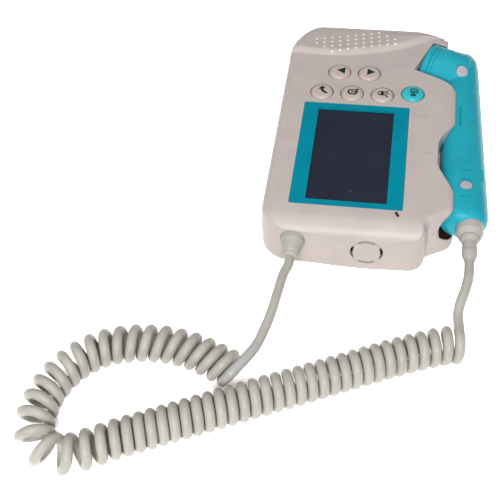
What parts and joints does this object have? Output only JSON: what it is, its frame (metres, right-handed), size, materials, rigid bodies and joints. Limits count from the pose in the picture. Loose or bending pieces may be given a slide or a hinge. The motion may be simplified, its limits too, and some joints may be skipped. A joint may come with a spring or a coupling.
{
  "type": "fetal doppler",
  "caption": "Flat handheld monitor with a colour display, round keys and a speaker, and a corded probe that lies in a bay along its side.",
  "frame": {"origin": "on the flat back, under the centre of the display bezel; the unit lies on its back", "axes": "+X to the probe's side, +Y to the speaker end, +Z out of the display"},
  "size_m": [0.1884, 0.2671, 0.0311],
  "materials": {
    "case_upper": "moulded warm grey plastic, fine matte grain",
    "case_lower": "moulded warm grey plastic, fine matte grain",
    "key_grey": "satin moulded keys with printed symbols",
    "key_teal": "satin teal key with a printed symbol",
    "bezel_teal": "teal panel, satin",
    "window_dark": "dark tinted window, smooth",
    "probe_teal": "moulded teal plastic, satin",
    "collar_pale": "moulded pale plastic",
    "cap_pale": "push-in screw caps, satin",
    "relief_grey": "flexible moulded strain relief",
    "cord_jacket": "smooth PVC jacket",
    "film_clear": "clear shrink film",
    "lens_dark": "dark indicator lens",
    "panel_black": "display panel",
    "board_green": "solder resist",
    "pack_blue": "battery wrap",
    "contact_metal": "sprung contacts",
    "screw_steel": "zinc plated screws",
    "speaker_black": "speaker frame and cone",
    "grille_mesh": "pale woven cloth behind the grille",
    "membrane": "silicone key pad",
    "face_pad": "acoustic face",
    "piezo_brass": "transducer element on its backing"
  },
  "bodies": {
    "unit": {"front_housing": "case_upper", "rear_housing": "case_lower", "battery_pack": "pack_blue", "battery_contacts": "contact_metal", "display_bezel": "bezel_teal", "display_window": "window_dark", "lcd_module": "panel_black", "main_board": "board_green", "board_screws": "screw_steel", "speaker": "speaker_black", "keypad_membrane": "membrane", "indicator_lens": "lens_dark", "grille_cloth": "grille_mesh", "port_plug": "case_lower", "cord_gland": "relief_grey", "case_screws": "screw_steel", "cord_case_lead": "cord_jacket", "cord_coil": "cord_jacket", "cord_probe_lead": "cord_jacket", "splice_sleeve": "film_clear"},
    "battery_door": {"battery_door": "case_lower"},
    "probe": {"probe_front_shell": "probe_teal", "probe_rear_shell": "probe_teal", "transducer_ring": "probe_teal", "transducer_cap": "probe_teal", "transducer_face": "face_pad", "piezo_disc": "piezo_brass", "probe_board": "board_green", "probe_screws": "screw_steel", "probe_screw_caps": "cap_pale", "probe_collar": "collar_pale", "probe_boot": "relief_grey"},
    "key_left": {"key_left": "key_grey"},
    "key_right": {"key_right": "key_grey"},
    "key_back": {"key_back": "key_grey"},
    "key_record": {"key_record": "key_grey"},
    "key_light": {"key_light": "key_grey"},
    "key_power": {"key_power": "key_teal"}
  },
  "joints": [
    {"name": "key_left_press", "type": "slide", "parent": "unit", "child": "key_left", "axis": [0, 0, -1], "range_m": [0, 0.0008], "stiffness_N_per_m": 300},
    {"name": "key_right_press", "type": "slide", "parent": "unit", "child": "key_right", "axis": [0, 0, -1], "range_m": [0, 0.0008], "stiffness_N_per_m": 300},
    {"name": "key_back_press", "type": "slide", "parent": "unit", "child": "key_back", "axis": [0, 0, -1], "range_m": [0, 0.0008], "stiffness_N_per_m": 300},
    {"name": "key_record_press", "type": "slide", "parent": "unit", "child": "key_record", "axis": [0, 0, -1], "range_m": [0, 0.0008], "stiffness_N_per_m": 300},
    {"name": "key_light_press", "type": "slide", "parent": "unit", "child": "key_light", "axis": [0, 0, -1], "range_m": [0, 0.0008], "stiffness_N_per_m": 300},
    {"name": "key_power_press", "type": "slide", "parent": "unit", "child": "key_power", "axis": [0, 0, -1], "range_m": [0, 0.0008], "stiffness_N_per_m": 300},
    {"name": "probe_pull", "type": "slide", "parent": "unit", "child": "probe", "axis": [0.9232, -0.3843, 0], "range_m": [0, 0.03], "deforming": ["cord_probe_lead"]},
    {"name": "door_slide", "type": "slide", "parent": "unit", "child": "battery_door", "axis": [0, -1, 0], "range_m": [0, 0.02]}
  ]
}
